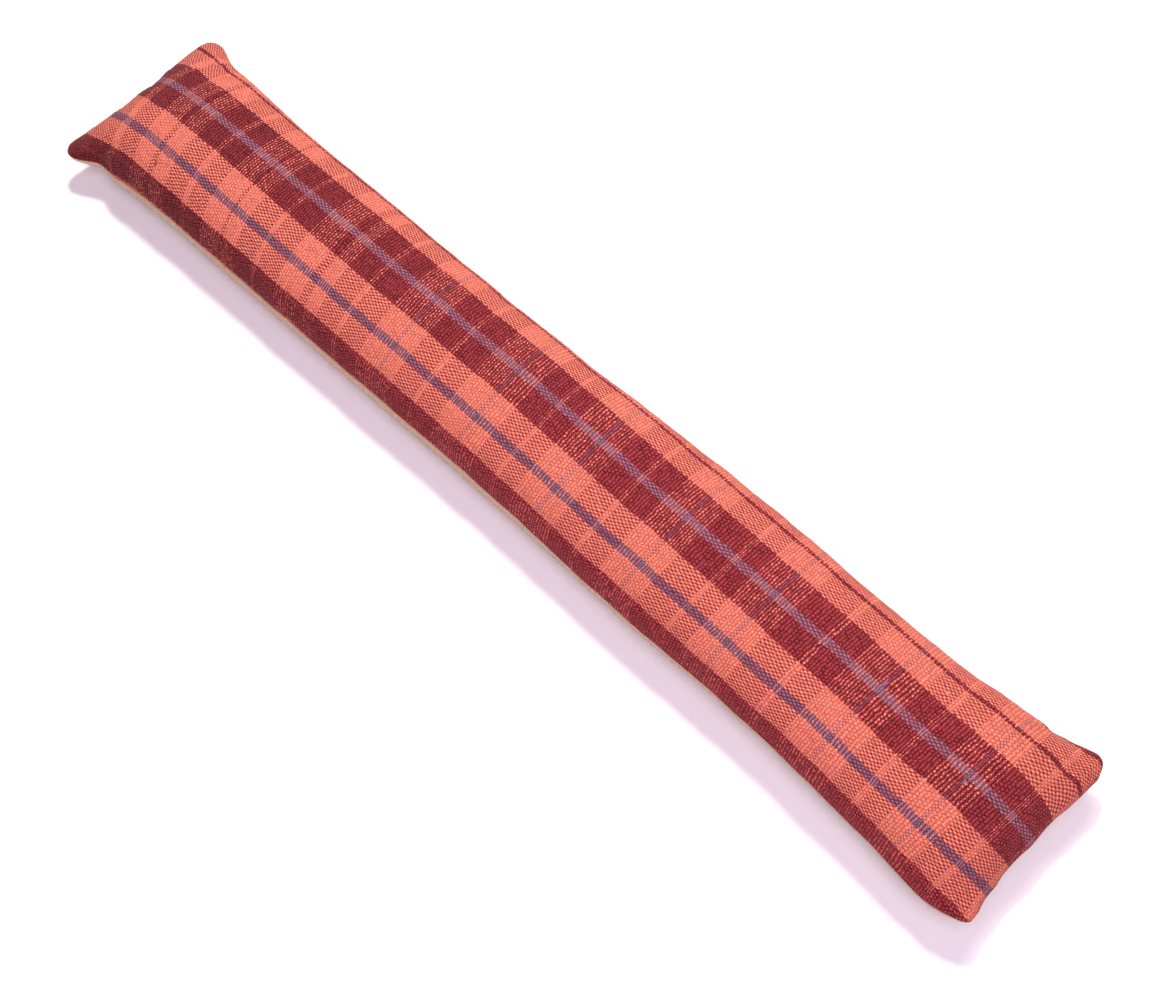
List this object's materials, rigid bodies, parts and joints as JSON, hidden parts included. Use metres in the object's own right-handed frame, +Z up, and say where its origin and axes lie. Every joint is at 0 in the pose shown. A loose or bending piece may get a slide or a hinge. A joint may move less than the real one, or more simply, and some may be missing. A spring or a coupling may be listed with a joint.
{
  "type": "draught excluder",
  "caption": "Long narrow stuffed draught excluder lying on its back, its woven front panel sewn to a plain back panel, with four soft ears.",
  "frame": {"origin": "on the floor under the middle of the excluder", "axes": "+X along the length, +Y across towards the long side that is farther from the camera in the picture, +Z up through the woven front"},
  "size_m": [0.9, 0.1544, 0.0603],
  "materials": {
    "woven_check": "thick hand-woven plain weave in coral, dark red, lavender and purple-blue yarn, dull",
    "plain_cloth": "plain beige cotton weave, dull"
  },
  "bodies": {
    "root": {"woven_front": "woven_check", "plain_back": "plain_cloth"}
  },
  "joints": []
}
